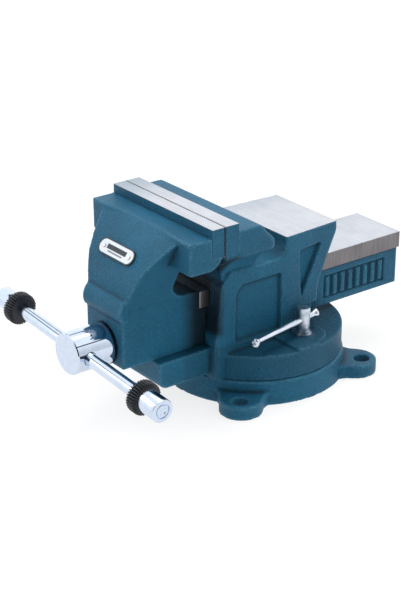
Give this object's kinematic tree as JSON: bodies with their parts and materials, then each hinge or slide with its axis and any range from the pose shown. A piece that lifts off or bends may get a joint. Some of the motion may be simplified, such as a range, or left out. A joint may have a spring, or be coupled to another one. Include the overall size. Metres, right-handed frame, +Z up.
{
  "type": "bench vise",
  "caption": "Swivel-base bench vise with steel jaw plates, box slide, small anvil, screw with sliding handle and swivel lock bolts.",
  "frame": {"origin": "on the swivel axis, at the underside of the base", "axes": "+Z up, the screw runs along Y with the handle at the -Y end, +X to the right seen from the handle"},
  "size_m": [0.2126, 0.3129, 0.1565],
  "materials": {
    "cast_paint": "semi-gloss paint over cast iron",
    "ground_steel": "ground",
    "chrome": "bright chrome",
    "zinc_steel": "zinc plated",
    "black_steel": "black oxide",
    "plain_steel": "turned",
    "nut_iron": "machined iron",
    "badge_metal": "satin",
    "black_rubber": "matt, ribbed"
  },
  "bodies": {
    "base": {"base_plate": "cast_paint"},
    "swivel": {"fixed_body": "cast_paint", "rear_jaw_plate": "ground_steel", "rear_jaw_screws": "black_steel", "spindle_nut": "nut_iron", "nut_bolt": "zinc_steel", "nut_washer": "zinc_steel", "lock_washer_left": "zinc_steel", "lock_washer_right": "zinc_steel", "t_nut_left": "plain_steel", "t_nut_right": "plain_steel"},
    "jaw": {"movable_jaw": "cast_paint", "front_jaw_plate": "ground_steel", "front_jaw_screws": "black_steel", "badge": "badge_metal", "badge_rivets": "badge_metal"},
    "spindle": {"spindle_screw": "chrome", "thrust_washer": "black_steel", "retaining_collar": "plain_steel", "collar_pin": "plain_steel"},
    "handle": {"handle_bar": "chrome", "handle_cap_left": "chrome", "handle_cap_right": "chrome", "handle_ring_left": "black_rubber", "handle_ring_right": "black_rubber"},
    "lock_left": {"lock_head_left": "zinc_steel", "lock_stud_left": "zinc_steel"},
    "lock_right": {"lock_head_right": "zinc_steel", "lock_stud_right": "zinc_steel"},
    "bar_left": {"lock_bar_left": "chrome"},
    "bar_right": {"lock_bar_right": "chrome"}
  },
  "joints": [
    {"name": "swivel_turn", "type": "hinge", "parent": "base", "child": "swivel", "pos_m": [0, 0, 0.02], "axis": [0, 0, 1], "continuous": true},
    {"name": "jaw_slide", "type": "slide", "parent": "swivel", "child": "jaw", "axis": [0, -1, 0], "range_m": [0, 0.125]},
    {"name": "spindle_turn", "type": "hinge", "parent": "jaw", "child": "spindle", "pos_m": [0, -0.14, 0.0599], "axis": [0, -1, 0], "range_deg": [0, 9000]},
    {"name": "handle_slide", "type": "slide", "parent": "spindle", "child": "handle", "axis": [0.9981, 0, -0.061], "range_m": [-0.06, 0.06]},
    {"name": "lock_turn_left", "type": "hinge", "parent": "swivel", "child": "lock_left", "pos_m": [-0.049, 0.0108, 0.05], "axis": [0, 0, -1], "range_deg": [-12, 60]},
    {"name": "lock_bar_slide_left", "type": "slide", "parent": "lock_left", "child": "bar_left", "axis": [-0.1925, -0.9813, 0], "range_m": [-0.05, 0.006]},
    {"name": "lock_turn_right", "type": "hinge", "parent": "swivel", "child": "lock_right", "pos_m": [0.049, 0.0108, 0.05], "axis": [0, 0, 1], "range_deg": [-12, 60]},
    {"name": "lock_bar_slide_right", "type": "slide", "parent": "lock_right", "child": "bar_right", "axis": [0.1925, -0.9813, 0], "range_m": [-0.05, 0.006]}
  ],
  "couplings": [
    {"joint": "jaw_slide", "follows": "spindle_turn", "m_per_rad": 0.00079577}
  ]
}
